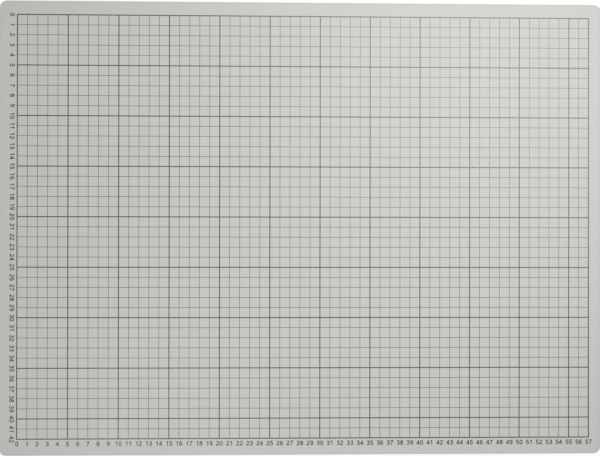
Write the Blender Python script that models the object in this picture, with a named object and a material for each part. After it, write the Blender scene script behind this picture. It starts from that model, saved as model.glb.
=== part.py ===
# Self-healing cutting mat: a laminated rounded sheet with a printed centimetre grid.
# Units are metres and +Z is up. The origin is the middle of the underside.
# +X runs along the long side and +Y points away from someone who reads the numerals.

import bmesh
import bpy

# Outline of every sheet
MAT_LENGTH = 0.600
MAT_WIDTH = 0.450
CORNER_RADIUS = 0.0078
CORNER_SEGMENTS = 10

# Laminate, from the underside up: skin, cushion, core, cushion, skin
SKIN_THICKNESS = 0.00080
CUSHION_THICKNESS = 0.00038
CORE_THICKNESS = 0.00056
BOND_LINE = 0.00002  # hairline between two bonded sheets
EDGE_EASE = 0.00025  # rounding of the outer edge of both skins
EASE_SEGMENTS = 3
SHARP_ANGLE = 0.6  # edges that turn more than this, in radians, are shaded sharp

# Centimetre grid, counted from its left edge and from its top edge
GRID_PITCH = 0.010
LEFT_MARGIN = 0.0175
RIGHT_MARGIN_LEAST = 0.0125
TOP_MARGIN = 0.0137
BOTTOM_MARGIN_LEAST = 0.0163
BOLD_EVERY = 5
FINE_LINE = 0.00043
BOLD_LINE = 0.00096
BORDER_LINE = 0.00099
INK_FILM = 0.00002
INK_SEAT = 0.00001  # hairline under each ink film

# Colours in linear light, and how rough each surface is
SKIN_GREY = (0.518, 0.523, 0.492)
SKIN_ROUGHNESS = 0.48
CUSHION_GREY = (0.16, 0.165, 0.165)
CUSHION_ROUGHNESS = 0.62
CORE_WHITE = (0.72, 0.71, 0.66)
CORE_ROUGHNESS = 0.48
INK_BLACK = (0.02, 0.021, 0.013)
INK_ROUGHNESS = 0.34


def clear_scene():
    for thing in list(bpy.data.objects):
        bpy.data.objects.remove(thing, do_unlink=True)


def material(name, colour, roughness):
    mat = bpy.data.materials.new(name)
    mat.use_nodes = True
    shader = mat.node_tree.nodes["Principled BSDF"]
    shader.inputs["Base Color"].default_value = (*colour, 1.0)
    shader.inputs["Roughness"].default_value = roughness
    shader.inputs["Metallic"].default_value = 0.0
    return mat


def place(name, data, height, mat, collection):
    piece = bpy.data.objects.new(name, data)
    piece.location.z = height
    data.materials.append(mat)
    collection.objects.link(piece)
    return piece


# A sheet is a thin box with its upright edges rounded to the corner radius.
# eased is +1 to soften the rim of its upper face, -1 for the lower face, 0 for neither.
def sheet_mesh(name, thickness, eased=0):
    bm = bmesh.new()
    bmesh.ops.create_cube(bm, size=1.0)
    bmesh.ops.scale(bm, vec=(MAT_LENGTH, MAT_WIDTH, thickness), verts=bm.verts)
    bmesh.ops.translate(bm, vec=(0.0, 0.0, thickness / 2), verts=bm.verts)
    upright = [e for e in bm.edges if abs(e.verts[0].co.z - e.verts[1].co.z) > thickness / 2]
    bmesh.ops.bevel(
        bm, geom=upright, offset=CORNER_RADIUS, segments=CORNER_SEGMENTS, profile=0.5, affect="EDGES"
    )
    if eased:
        bm.normal_update()
        outer_face = max(bm.faces, key=lambda face: face.normal.z * eased)
        bmesh.ops.bevel(
            bm, geom=list(outer_face.edges), offset=EDGE_EASE, segments=EASE_SEGMENTS, profile=0.5,
            affect="EDGES",
        )
    mesh = bpy.data.meshes.new(name)
    bm.to_mesh(mesh)
    bm.free()
    mesh.shade_smooth()
    mesh.set_sharp_from_angle(angle=SHARP_ANGLE)
    return mesh


# Whole grid cells that fit between two margins
def whole_cells(span):
    return int(span / GRID_PITCH + 0.001)


# Centre and width of each ruling along one direction; the first and last are the border
def rulings(start, cells, direction):
    lines = []
    for index in range(cells + 1):
        if index in (0, cells):
            width = BORDER_LINE
        elif index % BOLD_EVERY == 0:
            width = BOLD_LINE
        else:
            width = FINE_LINE
        lines.append((start + direction * index * GRID_PITCH, width))
    return sorted(lines)


# Parallel rulings whose ends are joined by the two border lines that cross them.
# The film starts as a flat grid with an edge along both sides of every ruling and border.
# Its windows are removed, and what is left gets the thickness of the ink.
def ruling_mesh(name, lines, borders, run_along_y):
    across = [centre + side * width / 2 for centre, width in lines for side in (-1, 1)]
    along = [centre + side * width / 2 for centre, width in (borders[0], borders[-1]) for side in (-1, 1)]
    columns = len(across) - 1
    rows = len(along) - 1

    bm = bmesh.new()
    bmesh.ops.create_grid(bm, x_segments=columns, y_segments=rows, size=0.5)
    step = {v: (round((v.co.x + 0.5) * columns), round((v.co.y + 0.5) * rows)) for v in bm.verts}
    windows = []
    for face in bm.faces:
        column = min(step[v][0] for v in face.verts)
        row = min(step[v][1] for v in face.verts)
        if column % 2 == 1 and row % 2 == 1:
            windows.append(face)
    for vert, (column, row) in step.items():
        flat = (across[column], along[row]) if run_along_y else (along[row], across[column])
        vert.co = (*flat, 0.0)
    bmesh.ops.delete(bm, geom=windows, context="FACES")

    raised = bmesh.ops.extrude_face_region(bm, geom=bm.faces[:])
    upper = [item for item in raised["geom"] if isinstance(item, bmesh.types.BMVert)]
    bmesh.ops.translate(bm, vec=(0.0, 0.0, INK_FILM), verts=upper)
    bmesh.ops.recalc_face_normals(bm, faces=bm.faces[:])
    mesh = bpy.data.meshes.new(name)
    bm.to_mesh(mesh)
    bm.free()
    return mesh


def build():
    clear_scene()
    mat_collection = bpy.data.collections.new("cutting_mat")
    bpy.context.scene.collection.children.link(mat_collection)

    sheets = [
        ("bottom_skin", SKIN_THICKNESS, -1, SKIN_GREY, SKIN_ROUGHNESS),
        ("lower_cushion", CUSHION_THICKNESS, 0, CUSHION_GREY, CUSHION_ROUGHNESS),
        ("hard_core", CORE_THICKNESS, 0, CORE_WHITE, CORE_ROUGHNESS),
        ("upper_cushion", CUSHION_THICKNESS, 0, CUSHION_GREY, CUSHION_ROUGHNESS),
        ("top_skin", SKIN_THICKNESS, 1, SKIN_GREY, SKIN_ROUGHNESS),
    ]
    height = 0.0
    for name, thickness, eased, colour, roughness in sheets:
        finish = material(name, colour, roughness)
        place(name, sheet_mesh(name, thickness, eased), height, finish, mat_collection)
        height += thickness + BOND_LINE
    top_face = height - BOND_LINE

    columns = whole_cells(MAT_LENGTH - LEFT_MARGIN - RIGHT_MARGIN_LEAST)
    rows = whole_cells(MAT_WIDTH - TOP_MARGIN - BOTTOM_MARGIN_LEAST)
    upright_lines = rulings(-MAT_LENGTH / 2 + LEFT_MARGIN, columns, 1)
    level_lines = rulings(MAT_WIDTH / 2 - TOP_MARGIN, rows, -1)

    # The level rulings are printed over the upright ones and rest on them at every crossing
    first_film = top_face + INK_SEAT
    second_film = first_film + INK_FILM + INK_SEAT
    place(
        "upright_rulings",
        ruling_mesh("upright_rulings", upright_lines, level_lines, True),
        first_film,
        material("upright_rulings", INK_BLACK, INK_ROUGHNESS),
        mat_collection,
    )
    place(
        "level_rulings",
        ruling_mesh("level_rulings", level_lines, upright_lines, False),
        second_film,
        material("level_rulings", INK_BLACK, INK_ROUGHNESS),
        mat_collection,
    )


build()
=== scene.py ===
# Looks of the cutting mat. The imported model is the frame, and everything here is fitted to it.
import math

import bmesh
import bpy
from mathutils import Matrix, Vector


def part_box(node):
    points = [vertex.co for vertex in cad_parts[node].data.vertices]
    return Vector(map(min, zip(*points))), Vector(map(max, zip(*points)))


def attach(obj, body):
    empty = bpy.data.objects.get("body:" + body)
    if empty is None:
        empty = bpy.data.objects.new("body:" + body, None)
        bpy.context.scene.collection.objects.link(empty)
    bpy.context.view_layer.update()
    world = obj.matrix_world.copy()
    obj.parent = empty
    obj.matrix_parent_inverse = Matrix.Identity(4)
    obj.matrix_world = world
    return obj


mm = 0.001  # print and grain are easier to read in millimetres
noiseMiddle = 0.5  # a noise swings about this

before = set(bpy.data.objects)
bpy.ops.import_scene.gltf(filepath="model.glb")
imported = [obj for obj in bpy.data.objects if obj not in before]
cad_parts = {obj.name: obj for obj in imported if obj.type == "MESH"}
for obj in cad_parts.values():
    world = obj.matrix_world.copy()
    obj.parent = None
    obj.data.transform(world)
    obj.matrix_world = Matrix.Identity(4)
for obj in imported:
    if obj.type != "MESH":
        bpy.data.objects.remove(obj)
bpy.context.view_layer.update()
print("frame loaded:", ", ".join(sorted(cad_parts)))


# Shader building. An underscore in the name of a value stands for the space in a socket's name.
def addNode(tree, kind, settings=None, **values):
    node = tree.nodes.new(kind)
    for name, value in (settings or {}).items():
        setattr(node, name, value)
    for name, value in values.items():
        node.inputs[name.replace("_", " ")].default_value = value
    return node


# Each value is the output of another node or a fixed one
def feed(tree, node, values):
    for slot, value in zip(node.inputs, values):
        if isinstance(value, bpy.types.NodeSocket):
            tree.links.new(value, slot)
        else:
            slot.default_value = value


def addMath(tree, operation, *values):
    node = addNode(tree, "ShaderNodeMath", {"operation": operation})
    feed(tree, node, values)
    return node.outputs[0]


def addVectorMath(tree, operation, *values):
    node = addNode(tree, "ShaderNodeVectorMath", {"operation": operation})
    feed(tree, node, values)
    return node.outputs["Value" if operation == "LENGTH" else "Vector"]


# A colour made lighter and darker by a noise, each way by up to half the amount
def addShade(tree, plainColour, noise, amount):
    swing = addMath(tree, "SUBTRACT", noise, noiseMiddle)
    shade = addNode(tree, "ShaderNodeVectorMath", {"operation": "SCALE"})
    tree.links.new(plainColour, shade.inputs[0])
    tree.links.new(addMath(tree, "MULTIPLY_ADD", swing, amount, 1.0), shade.inputs["Scale"])
    return shade.outputs[0]


def addGroup(tree, group, **values):
    return addNode(tree, "ShaderNodeGroup", {"node_tree": group}, **values)


def newGroup(name, inputs, outputs):
    group = bpy.data.node_groups.new(name, "ShaderNodeTree")
    for label, kind, value in inputs:
        socket = group.interface.new_socket(name=label, in_out="INPUT", socket_type=kind)
        if value is not None:
            socket.default_value = value
    for label, kind in outputs:
        group.interface.new_socket(name=label, in_out="OUTPUT", socket_type=kind)
    return group, group.nodes.new("NodeGroupInput"), group.nodes.new("NodeGroupOutput")


def opaque(plainColour):
    return (*plainColour, 1.0)


numberSocket, colourSocket, vectorSocket = "NodeSocketFloat", "NodeSocketColor", "NodeSocketVector"
middleGrey = opaque((0.5, 0.5, 0.5))

grainMix = {
    "roundness": 0.6,
    "pebbleShare": 0.5,  # height of the pebbles beside that of the clouds
    "cloudScale": 0.4,  # of the pebbles' scale, so the clouds are coarser
}


# Fine pebble grain of the skins, which the print that lies on them follows
def buildGrain():
    group, given, result = newGroup(
        "pebbleGrain",
        [
            ("Vector", vectorSocket, None),
            ("Scale", numberSocket, 1000.0),
            ("Roughness", numberSocket, 0.5),
            ("Spread", numberSocket, 0.05),
        ],
        [("Height", numberSocket), ("Roughness", numberSocket)],
    )
    link = group.links.new
    cells = addNode(
        group, "ShaderNodeTexVoronoi", {"feature": "SMOOTH_F1"}, Smoothness=grainMix["roundness"]
    )
    clouds = addNode(group, "ShaderNodeTexNoise", Detail=3.0, Roughness=0.55)
    cloudScale = addMath(group, "MULTIPLY", given.outputs["Scale"], grainMix["cloudScale"])
    link(given.outputs["Vector"], cells.inputs["Vector"])
    link(given.outputs["Vector"], clouds.inputs["Vector"])
    link(given.outputs["Scale"], cells.inputs["Scale"])
    link(cloudScale, clouds.inputs["Scale"])
    height = addMath(
        group, "MULTIPLY_ADD", cells.outputs["Distance"], grainMix["pebbleShare"], clouds.outputs["Fac"]
    )
    swing = addMath(group, "SUBTRACT", clouds.outputs["Fac"], noiseMiddle)
    rough = addMath(group, "MULTIPLY_ADD", swing, given.outputs["Spread"], given.outputs["Roughness"])
    link(height, result.inputs["Height"])
    link(rough, result.inputs["Roughness"])
    return group


# Slow drift of tone over a surface
def buildDrift():
    group, given, result = newGroup(
        "toneDrift",
        [
            ("Vector", vectorSocket, None),
            ("Color", colourSocket, middleGrey),
            ("Scale", numberSocket, 20.0),
            ("Amount", numberSocket, 0.02),
        ],
        [("Color", colourSocket)],
    )
    link = group.links.new
    slow = addNode(group, "ShaderNodeTexNoise", Detail=4.0, Roughness=0.6)
    link(given.outputs["Vector"], slow.inputs["Vector"])
    link(given.outputs["Scale"], slow.inputs["Scale"])
    drifted = addShade(group, given.outputs["Color"], slow.outputs["Fac"], given.outputs["Amount"])
    link(drifted, result.inputs["Color"])
    return group


cutMarks = {
    "width": 0.35 * mm,
    "length": 4.0 * mm,
    "depth": 0.06 * mm,
    "shade": 0.35,
    "faceLevel": 0.75,  # how level a surface has to be to count as a face
    "sideLevel": 0.25,  # and as a side
}


# Where a sheet's side was cut: its own tone, and fine marks across the thickness
def buildCut():
    group, given, result = newGroup(
        "cutSide",
        [
            ("Vector", vectorSocket, None),
            ("Normal", vectorSocket, None),
            ("Face Color", colourSocket, middleGrey),
            ("Side Color", colourSocket, middleGrey),
            ("Mark Width", numberSocket, 0.0004),
            ("Mark Length", numberSocket, 0.004),
            ("Mark Shade", numberSocket, 0.1),
        ],
        [("Color", colourSocket), ("Height", numberSocket)],
    )
    link = group.links.new
    facing = addNode(group, "ShaderNodeSeparateXYZ")
    place = addNode(group, "ShaderNodeSeparateXYZ")
    stretched = addNode(group, "ShaderNodeCombineXYZ")
    marks = addNode(group, "ShaderNodeTexNoise", Scale=1.0, Detail=3.0, Roughness=0.6)
    tint = addNode(group, "ShaderNodeMix", {"data_type": "RGBA"})
    side = addNode(
        group, "ShaderNodeMapRange", {"interpolation_type": "SMOOTHSTEP"},
        From_Min=cutMarks["faceLevel"], From_Max=cutMarks["sideLevel"],
    )
    link(given.outputs["Normal"], facing.inputs[0])
    link(given.outputs["Vector"], place.inputs[0])
    link(addMath(group, "ABSOLUTE", facing.outputs["Z"]), side.inputs["Value"])
    along = addMath(group, "ADD", place.outputs["X"], place.outputs["Y"])
    across = addMath(group, "DIVIDE", place.outputs["Z"], given.outputs["Mark Length"])
    link(addMath(group, "DIVIDE", along, given.outputs["Mark Width"]), stretched.inputs["X"])
    link(across, stretched.inputs["Z"])
    link(stretched.outputs[0], marks.inputs["Vector"])
    marked = addShade(
        group, given.outputs["Side Color"], marks.outputs["Fac"], given.outputs["Mark Shade"]
    )
    height = addMath(group, "MULTIPLY", marks.outputs["Fac"], side.outputs["Result"])
    link(side.outputs["Result"], tint.inputs["Factor"])
    link(given.outputs["Face Color"], tint.inputs["A"])
    link(marked, tint.inputs["B"])
    link(tint.outputs["Result"], result.inputs["Color"])
    link(height, result.inputs["Height"])
    return group


# How near a point lies to the mat's outline, a rectangle with round corners: 1 at the rim, 0 inside
def buildRim():
    group, given, result = newGroup(
        "rimNearness",
        [
            ("Vector", vectorSocket, None),
            ("Half Size", vectorSocket, (0.3, 0.2, 0.0)),
            ("Corner Radius", numberSocket, 0.007),
            ("Band", numberSocket, 0.002),
        ],
        [("Rim", numberSocket)],
    )
    link = group.links.new
    corner = addNode(group, "ShaderNodeCombineXYZ")
    past = addNode(group, "ShaderNodeSeparateXYZ")
    band = addNode(
        group, "ShaderNodeMapRange", {"interpolation_type": "SMOOTHSTEP"}, To_Min=1.0, To_Max=0.0
    )
    link(given.outputs["Corner Radius"], corner.inputs["X"])
    link(given.outputs["Corner Radius"], corner.inputs["Y"])

    # measured from the middle of the nearest corner's arc, in one quarter of the mat
    quarter = addVectorMath(group, "ABSOLUTE", given.outputs["Vector"])
    fromOutline = addVectorMath(group, "SUBTRACT", quarter, given.outputs["Half Size"])
    fromMiddle = addVectorMath(group, "ADD", fromOutline, corner.outputs[0])
    flat = addVectorMath(group, "MULTIPLY", fromMiddle, (1.0, 1.0, 0.0))
    link(flat, past.inputs[0])
    bent = addVectorMath(group, "LENGTH", addVectorMath(group, "MAXIMUM", flat, (0.0, 0.0, 0.0)))
    further = addMath(group, "MAXIMUM", past.outputs["X"], past.outputs["Y"])
    outward = addMath(group, "ADD", bent, addMath(group, "MINIMUM", further, 0.0))
    depth = addMath(group, "SUBTRACT", given.outputs["Corner Radius"], outward)
    link(depth, band.inputs["Value"])
    link(given.outputs["Band"], band.inputs["From Max"])
    link(band.outputs["Result"], result.inputs["Rim"])
    return group


pebbleGrain = buildGrain()
toneDrift = buildDrift()
cutSide = buildCut()
rimNearness = buildRim()
print("shader groups built")


# Materials
def startMaterial(name, roughness):
    made = bpy.data.materials.new(name)
    made.use_nodes = True
    shader = made.node_tree.nodes["Principled BSDF"]
    shader.inputs["Roughness"].default_value = roughness
    return made, made.node_tree, shader


# The grain varies the roughness, and its bump goes to whatever comes next
def addGrain(tree, shader, where, look):
    grain = addGroup(
        tree, pebbleGrain, Scale=1.0 / look["grainSize"], Roughness=look["roughness"],
        Spread=look["roughnessSpread"],
    )
    bump = addNode(tree, "ShaderNodeBump", Strength=1.0, Distance=look["grainDepth"])
    tree.links.new(where.outputs["Object"], grain.inputs["Vector"])
    tree.links.new(grain.outputs["Height"], bump.inputs["Height"])
    tree.links.new(grain.outputs["Roughness"], shader.inputs["Roughness"])
    return bump.outputs[0]


# The rim of a skin is darkened towards its outline: painted shade along the rim
def addRim(tree, where, look, faceColour):
    low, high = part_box("top_skin")
    rim = addGroup(
        tree, rimNearness, Half_Size=(high - low) / 2, Corner_Radius=look["cornerRadius"],
        Band=look["rimBand"],
    )
    rimShaded = addNode(tree, "ShaderNodeMix", {"data_type": "RGBA", "blend_type": "MULTIPLY"})
    # painted shade: the skin's colour is multiplied by this tint near the rim
    rimShaded.inputs["B"].default_value = opaque(look["rimShadeTint"])
    tree.links.new(where.outputs["Object"], rim.inputs["Vector"])
    tree.links.new(rim.outputs["Rim"], rimShaded.inputs["Factor"])
    tree.links.new(faceColour, rimShaded.inputs["A"])
    return rimShaded.outputs["Result"]


def sheetMaterial(name, look):
    made, tree, shader = startMaterial(name, look["roughness"])
    link = tree.links.new
    where = addNode(tree, "ShaderNodeTexCoord")
    drift = addGroup(
        tree, toneDrift, Scale=1.0 / look["toneSize"], Amount=look["toneAmount"],
        Color=opaque(look["colour"]),
    )
    cut = addGroup(
        tree, cutSide, Mark_Width=cutMarks["width"], Mark_Length=cutMarks["length"],
        Mark_Shade=cutMarks["shade"], Side_Color=opaque(look["sideColour"]),
    )
    cutBump = addNode(tree, "ShaderNodeBump", Strength=1.0, Distance=cutMarks["depth"])
    link(where.outputs["Object"], drift.inputs["Vector"])
    link(where.outputs["Object"], cut.inputs["Vector"])
    link(where.outputs["Normal"], cut.inputs["Normal"])
    faceColour = drift.outputs["Color"]
    # skins get a band of painted shade along their rim
    if "rimBand" in look:
        faceColour = addRim(tree, where, look, faceColour)
    if "grainSize" in look:
        link(addGrain(tree, shader, where, look), cutBump.inputs["Normal"])
    link(faceColour, cut.inputs["Face Color"])
    link(cut.outputs["Color"], shader.inputs["Base Color"])
    link(cut.outputs["Height"], cutBump.inputs["Height"])
    link(cutBump.outputs[0], shader.inputs["Normal"])
    return made


def inkMaterial(name, look):
    made, tree, shader = startMaterial(name, look["roughness"])
    link = tree.links.new
    where = addNode(tree, "ShaderNodeTexCoord")
    thin = addNode(tree, "ShaderNodeTexNoise", Scale=1.0 / look["thinSize"], Detail=3.0)
    tint = addNode(tree, "ShaderNodeMix", {"data_type": "RGBA"})
    tint.inputs["A"].default_value = opaque(look["colour"])
    tint.inputs["B"].default_value = opaque(look["thinColour"])
    link(where.outputs["Object"], thin.inputs["Vector"])
    link(thin.outputs["Fac"], tint.inputs["Factor"])
    link(tint.outputs["Result"], shader.inputs["Base Color"])
    link(addGrain(tree, shader, where, look), shader.inputs["Normal"])
    return made


skinLook = {
    "colour": (0.518, 0.523, 0.492),
    "sideColour": (0.493, 0.498, 0.47),
    "roughness": 0.48,
    "roughnessSpread": 0.06,
    "grainSize": 0.42 * mm,
    "grainDepth": 0.045 * mm,
    "toneSize": 45 * mm,
    "toneAmount": 0.03,
    "cornerRadius": 7.8 * mm,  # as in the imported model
    # the next two: a band of painted shade along the rim, its width and how dark it makes the skin
    "rimBand": 2.6 * mm,
    "rimShadeTint": (0.94, 0.94, 0.94),
}

cushionLook = {
    "colour": (0.16, 0.165, 0.165),
    "sideColour": (0.18, 0.185, 0.185),
    "roughness": 0.62,
    "toneSize": 12 * mm,
    "toneAmount": 0.1,
}

coreLook = {
    "colour": (0.72, 0.71, 0.66),
    "sideColour": (0.70, 0.69, 0.64),
    "roughness": 0.48,
    "toneSize": 18 * mm,
    "toneAmount": 0.05,
}

inkLook = {
    "colour": (0.012, 0.013, 0.006),
    "thinColour": (0.028, 0.029, 0.019),  # where the print came out thin
    "thinSize": 1.5 * mm,
    "roughness": 0.34,
    "roughnessSpread": 0.05,
    "grainSize": 0.42 * mm,
    "grainDepth": 0.03 * mm,
}

healingSkin = sheetMaterial("healingSkin", skinLook)
darkCushion = sheetMaterial("darkCushion", cushionLook)
paleCore = sheetMaterial("paleCore", coreLook)
printedInk = inkMaterial("printedInk", inkLook)

finishes = {
    "top_skin": healingSkin,
    "bottom_skin": healingSkin,
    "upper_cushion": darkCushion,
    "lower_cushion": darkCushion,
    "hard_core": paleCore,
    "upright_rulings": printedInk,
    "level_rulings": printedInk,
}
for nodeName, finish in finishes.items():
    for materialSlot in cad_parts[nodeName].material_slots:
        materialSlot.material = finish
print("sheets and rulings finished")


# Numerals, drawn as strokes at a cap height of 1 and then printed at their size
numerals = {
    "capHeight": 4.6 * mm,
    "film": 0.02 * mm,
    "longShift": 0.2 * mm,  # the print sits this far along the scale from its line
    "sideShift": 0.15 * mm,
    "longToBorder": 4.78 * mm,  # middle of a numeral from the middle of the border line
    "sideToBorder": 4.86 * mm,
    "width": 0.78,  # of the box that a digit is drawn in, in cap heights
    "advance": 0.76,  # from one digit to the next, in cap heights
    "stroke": 0.18,  # in cap heights
    "drawnHeight": 0.1,  # in cap heights, and flattened to the film in print
    "endsMeet": 0.001,  # a stroke whose ends lie this near is closed
    "longestMitre": 2.0,  # in half stroke widths
    "squareness": 2.25,  # 2 is a true ellipse
    "arcStep": 12.5,  # degrees or so between two points of an arc
    "sweepSteps": 8,
}


# Part of an oval, between two angles in degrees
def arc(x, y, halfWidth, halfHeight, start, end):
    steps = round(abs(end - start) / numerals["arcStep"])
    power = 2 / numerals["squareness"]
    points = []
    for step in range(steps + 1):
        angle = math.radians(start + (end - start) * step / steps)
        across, up = math.cos(angle), math.sin(angle)
        points.append((
            x + halfWidth * math.copysign(abs(across) ** power, across),
            y + halfHeight * math.copysign(abs(up) ** power, up),
        ))
    return points


# A smooth curve between two points, pulled towards two others on its way
def sweep(start, pullStart, pullEnd, end):
    points = []
    for step in range(numerals["sweepSteps"] + 1):
        t = step / numerals["sweepSteps"]
        weights = ((1 - t) ** 3, 3 * t * (1 - t) ** 2, 3 * t * t * (1 - t), t ** 3)
        corners = (start, pullStart, pullEnd, end)
        points.append(tuple(sum(w * c[axis] for w, c in zip(weights, corners)) for axis in (0, 1)))
    return points


# Half a turn, which makes a six a nine
def turned(strokes):
    return [[(numerals["width"] - x, 1 - y) for x, y in stroke] for stroke in strokes]


# An arc whose stroke just touches the given box: left, right, bottom and top
def boxed(edges, start=0, end=360):
    left, right, bottom, top = edges
    halfStroke = numerals["stroke"] / 2
    halfWidth = (right - left) / 2 - halfStroke
    halfHeight = (top - bottom) / 2 - halfStroke
    return arc((left + right) / 2, (bottom + top) / 2, halfWidth, halfHeight, start, end)


def digitStrokes():
    low = numerals["stroke"] / 2
    high = 1 - low
    six = [boxed((0.06, 0.72, -0.01, 0.65)), boxed((0.06, 0.74, -0.01, 1.0), 42, 190)]
    return {
        "0": [boxed((0.06, 0.72, -0.01, 1.0))],
        "1": [
            [(0.45, 0.0), (0.45, 1.0)],
            sweep((0.14, 0.77), (0.27, 0.78), (0.38, 0.85), (0.45, 0.93)),
        ],
        "2": [
            boxed((0.07, 0.69, 0.40, 1.0), 168, 0)
            + sweep((0.61, 0.69), (0.61, 0.44), (0.17, 0.38), (0.13, low))[1:],
            [(0.05, low), (0.71, low)],
        ],
        "3": [
            boxed((0.08, 0.67, 0.49, 1.0), 165, -90) + [(0.28, 0.57)],
            [(0.28, 0.55)] + boxed((0.06, 0.72, -0.01, 0.63), 90, -168),
        ],
        "4": [[(0.72, 0.29), (0.10, 0.29), (0.49, high)], [(0.52, 0.0), (0.52, 1.0)]],
        "5": [
            [(0.67, high), (0.22, high), (0.15, 0.50)],
            boxed((0.05, 0.72, -0.01, 0.66), 146, -168),
        ],
        "6": six,
        "7": [
            [(0.07, high), (0.65, high)]
            + sweep((0.65, 0.90), (0.45, 0.66), (0.32, 0.36), (0.28, 0.0)),
        ],
        "8": [boxed((0.09, 0.69, 0.50, 1.0)), boxed((0.05, 0.73, -0.01, 0.60))],
        "9": turned(six),
    }


# Both edges of a stroke: each point moves square to the path, further where the path bends
def strokeEdges(points, halfWidth, closed):
    path = [Vector(point) for point in points]
    edges = []
    for index, here in enumerate(path):
        before = path[index - 1] if index or closed else None
        after = path[(index + 1) % len(path)] if index < len(path) - 1 or closed else None
        sides = []
        for a, b in ((before, here), (here, after)):
            if a is not None and b is not None:
                run = (b - a).normalized()
                sides.append(Vector((-run.y, run.x)))
        side = (sides[0] + sides[-1]).normalized()
        reach = halfWidth / max(side.dot(sides[0]), 1 / numerals["longestMitre"])
        edges.append((here + side * reach, here - side * reach))
    return edges


def strokeMesh(points):
    closed = (Vector(points[0]) - Vector(points[-1])).length < numerals["endsMeet"]
    edges = strokeEdges(points[:-1] if closed else points, numerals["stroke"] / 2, closed)
    bm = bmesh.new()
    pairs = [[bm.verts.new((*edge, 0.0)) for edge in pair] for pair in edges]
    following = pairs[1:] + pairs[:1] if closed else pairs[1:]
    for (left, right), (nextLeft, nextRight) in zip(pairs, following):
        bm.faces.new((left, right, nextRight, nextLeft))
    raised = bmesh.ops.extrude_face_region(bm, geom=bm.faces[:])
    upper = [item for item in raised["geom"] if isinstance(item, bmesh.types.BMVert)]
    bmesh.ops.translate(bm, vec=(0.0, 0.0, numerals["drawnHeight"]), verts=upper)
    bmesh.ops.recalc_face_normals(bm, faces=bm.faces[:])
    mesh = bpy.data.meshes.new("stroke")
    bm.to_mesh(mesh)
    bm.free()
    return mesh


# A join leaves its corners and faces in any order, and here they get one that is the same each run
def inOrder(name, joined):
    places = [tuple(vert.co) for vert in joined.vertices]
    order = sorted(range(len(places)), key=lambda index: places[index])
    rank = {index: position for position, index in enumerate(order)}
    faces = []
    for face in joined.polygons:
        corners = [rank[index] for index in face.vertices]
        first = corners.index(min(corners))
        faces.append(corners[first:] + corners[:first])
    mesh = bpy.data.meshes.new(name)
    mesh.from_pydata([places[index] for index in order], [], sorted(faces))
    return mesh


# The strokes of one digit become one body, in cap heights, with its underside at 0
def digitMesh(name, strokes):
    bodies = []
    for stroke in strokes:
        body = bpy.data.objects.new("stroke", strokeMesh(stroke))
        bpy.context.scene.collection.objects.link(body)
        bodies.append(body)
    for other in bodies[1:]:
        join = bodies[0].modifiers.new("join", "BOOLEAN")
        join.operation = "UNION"
        join.solver = "EXACT"
        join.object = other
    shaped = bodies[0].evaluated_get(bpy.context.evaluated_depsgraph_get())
    joined = bpy.data.meshes.new_from_object(shaped)
    mesh = inOrder(name, joined)
    bpy.data.meshes.remove(joined)
    for body in bodies:
        bpy.data.objects.remove(body)
    return mesh


digits = {name: digitMesh("digit_" + name, strokes) for name, strokes in digitStrokes().items()}
print("digits drawn")


# One scale of numerals as one print: places are (number, middle, turn)
def printScale(name, places, floorHeight):
    bm = bmesh.new()
    size = numerals["capHeight"]
    flatten = Matrix.Diagonal((size, size, numerals["film"] / numerals["drawnHeight"], 1.0))
    for value, middle, turn in places:
        text = str(value)
        first = -(numerals["advance"] * (len(text) - 1) + numerals["width"]) / 2
        for index, character in enumerate(text):
            old = set(bm.verts)
            bm.from_mesh(digits[character])
            new = [vert for vert in bm.verts if vert not in old]
            # down by half a cap height, so that the number's middle is where it is placed
            shift = Matrix.Translation((first + numerals["advance"] * index, -0.5, 0.0))
            spot = Matrix.Translation((*middle, floorHeight)) @ Matrix.Rotation(turn, 4, "Z")
            bmesh.ops.transform(bm, matrix=spot @ flatten @ shift, verts=new)
    mesh = bpy.data.meshes.new(name)
    bm.to_mesh(mesh)
    bm.free()
    piece = bpy.data.objects.new(name, mesh)
    bpy.context.scene.collection.objects.link(piece)
    mesh.materials.append(printedInk)
    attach(piece, "root")


# The grid's border lines come from the rulings themselves
grid = {
    "pitch": 10 * mm,
    "borderLine": 0.99 * mm,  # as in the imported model
}
gridLow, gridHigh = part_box("upright_rulings")
left, right = gridLow.x + grid["borderLine"] / 2, gridHigh.x - grid["borderLine"] / 2
bottom, top = gridLow.y + grid["borderLine"] / 2, gridHigh.y - grid["borderLine"] / 2
columns, rows = round((right - left) / grid["pitch"]), round((top - bottom) / grid["pitch"])

longPlaces = []
for n in range(columns + 1):
    middle = (left + n * grid["pitch"] + numerals["longShift"], bottom - numerals["longToBorder"])
    longPlaces.append((n, middle, 0.0))
sidePlaces = []
for n in range(rows + 1):
    middle = (left - numerals["sideToBorder"], top - n * grid["pitch"] - numerals["sideShift"])
    sidePlaces.append((n, middle, -math.pi / 2))
printScale("long_scale_numerals", longPlaces, gridLow.z)
printScale("side_scale_numerals", sidePlaces, gridLow.z)
print("scales printed: 0 to", columns, "and 0 to", rows)


# Floor: pale, white to the camera, and clear from below so that the underside can be seen
floorLook = {
    "size": 60.0,
    "drop": 0.1 * mm,
    "tone": 0.95,
    "roughness": 0.9,
    "whiteShare": 0.8,  # how far the eye sees it as plain white, which keeps some shadow
}


# 1 for what the camera sees, also in a reflection or through glass
def addSeenByEye(tree):
    path = addNode(tree, "ShaderNodeLightPath")
    seen = addMath(tree, "MAXIMUM", path.outputs["Is Camera Ray"], path.outputs["Is Glossy Ray"])
    return addMath(tree, "MAXIMUM", seen, path.outputs["Is Transmission Ray"])


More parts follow.
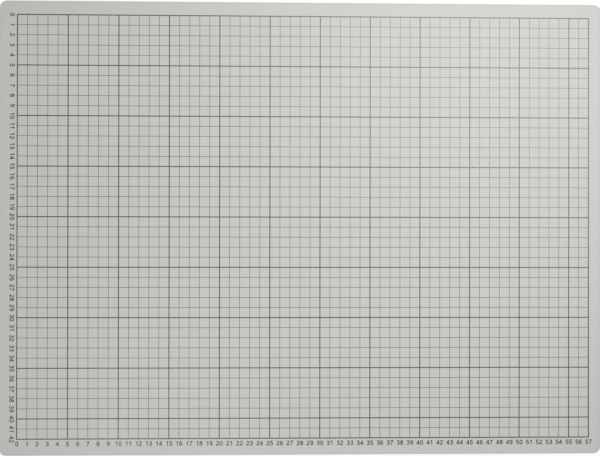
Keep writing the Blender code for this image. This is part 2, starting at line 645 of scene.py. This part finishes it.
def buildFloor():
    bpy.ops.mesh.primitive_plane_add(size=floorLook["size"], location=(0.0, 0.0, -floorLook["drop"]))
    floor = bpy.context.object
    floor.name = "floor"
    made, tree, shader = startMaterial("paleFloor", floorLook["roughness"])
    link = tree.links.new
    shader.inputs["Base Color"].default_value = opaque((floorLook["tone"],) * 3)
    shader.inputs["Specular IOR Level"].default_value = 0.0
    white = addNode(tree, "ShaderNodeEmission", Strength=1.0)
    clear = addNode(tree, "ShaderNodeBsdfTransparent")
    facing = addNode(tree, "ShaderNodeNewGeometry")
    lift = addNode(tree, "ShaderNodeMixShader")
    sides = addNode(tree, "ShaderNodeMixShader")
    link(addMath(tree, "MULTIPLY", addSeenByEye(tree), floorLook["whiteShare"]), lift.inputs[0])
    link(shader.outputs[0], lift.inputs[1])
    link(white.outputs[0], lift.inputs[2])
    link(facing.outputs["Backfacing"], sides.inputs[0])
    link(lift.outputs[0], sides.inputs[1])
    link(clear.outputs[0], sides.inputs[2])
    link(sides.outputs[0], tree.nodes["Material Output"].inputs["Surface"])
    floor.data.materials.append(made)
    floor.visible_shadow = False  # lets the lamp below reach the underside


buildFloor()


# Room: a pale glow for light, plain white to the eye
room = {"tone": (1.0, 1.0, 1.0), "glow": 0.2}


def buildRoom():
    world = bpy.data.worlds.new("paleRoom")
    bpy.context.scene.world = world
    world.use_nodes = True
    tree = world.node_tree
    tree.nodes.clear()
    link = tree.links.new
    glow = addNode(tree, "ShaderNodeBackground", Color=opaque(room["tone"]), Strength=room["glow"])
    white = addNode(tree, "ShaderNodeBackground", Color=opaque(room["tone"]), Strength=1.0)
    mix = addNode(tree, "ShaderNodeMixShader")
    out = addNode(tree, "ShaderNodeOutputWorld")
    link(addSeenByEye(tree), mix.inputs[0])
    link(glow.outputs[0], mix.inputs[1])
    link(white.outputs[0], mix.inputs[2])
    link(mix.outputs[0], out.inputs["Surface"])


buildRoom()

softboxes = [
    {"name": "keyBox", "place": (0.33, 0.34, 1.155), "width": 0.69, "height": 0.5, "radiance": 10.85},
    {"name": "fillBox", "place": (-0.175, -0.29, 0.6), "width": 0.31, "height": 0.31, "radiance": 2.92},
    {"name": "underBox", "place": (0.0, 0.0, -1.6), "width": 1.2, "height": 1.2, "radiance": 4.0},
]


# Each softbox faces the middle of the mat
def buildSoftbox(look):
    lamp = bpy.data.lights.new(look["name"], "AREA")
    lamp.shape = "RECTANGLE"
    lamp.size, lamp.size_y = look["width"], look["height"]
    lamp.energy = look["radiance"] * math.pi * look["width"] * look["height"]
    holder = bpy.data.objects.new(look["name"], lamp)
    holder.location = look["place"]
    holder.rotation_euler = (-Vector(look["place"])).to_track_quat("-Z", "Y").to_euler()
    holder.visible_camera = False
    bpy.context.scene.collection.objects.link(holder)


for look in softboxes:
    buildSoftbox(look)
print("floor, room and softboxes set")


# Camera, almost straight above, as the photograph was taken
view = {
    "place": (-0.0848, -0.0077, 1.7212),
    "turn": (0.00468, -0.04788, 0.00151),  # radians
    "focalPixels": 1726.9,
    "frameWidth": 600,
    "sensor": 36.0,  # millimetres
}


def buildCamera():
    lens = bpy.data.cameras.new("camera")
    lens.sensor_width = view["sensor"]
    lens.lens = view["focalPixels"] / view["frameWidth"] * view["sensor"]
    camera = bpy.data.objects.new("camera", lens)
    camera.location = view["place"]
    camera.rotation_euler = view["turn"]
    bpy.context.scene.collection.objects.link(camera)
    bpy.context.scene.camera = camera


buildCamera()
bpy.context.scene.view_settings.view_transform = "Standard"
print("camera set")
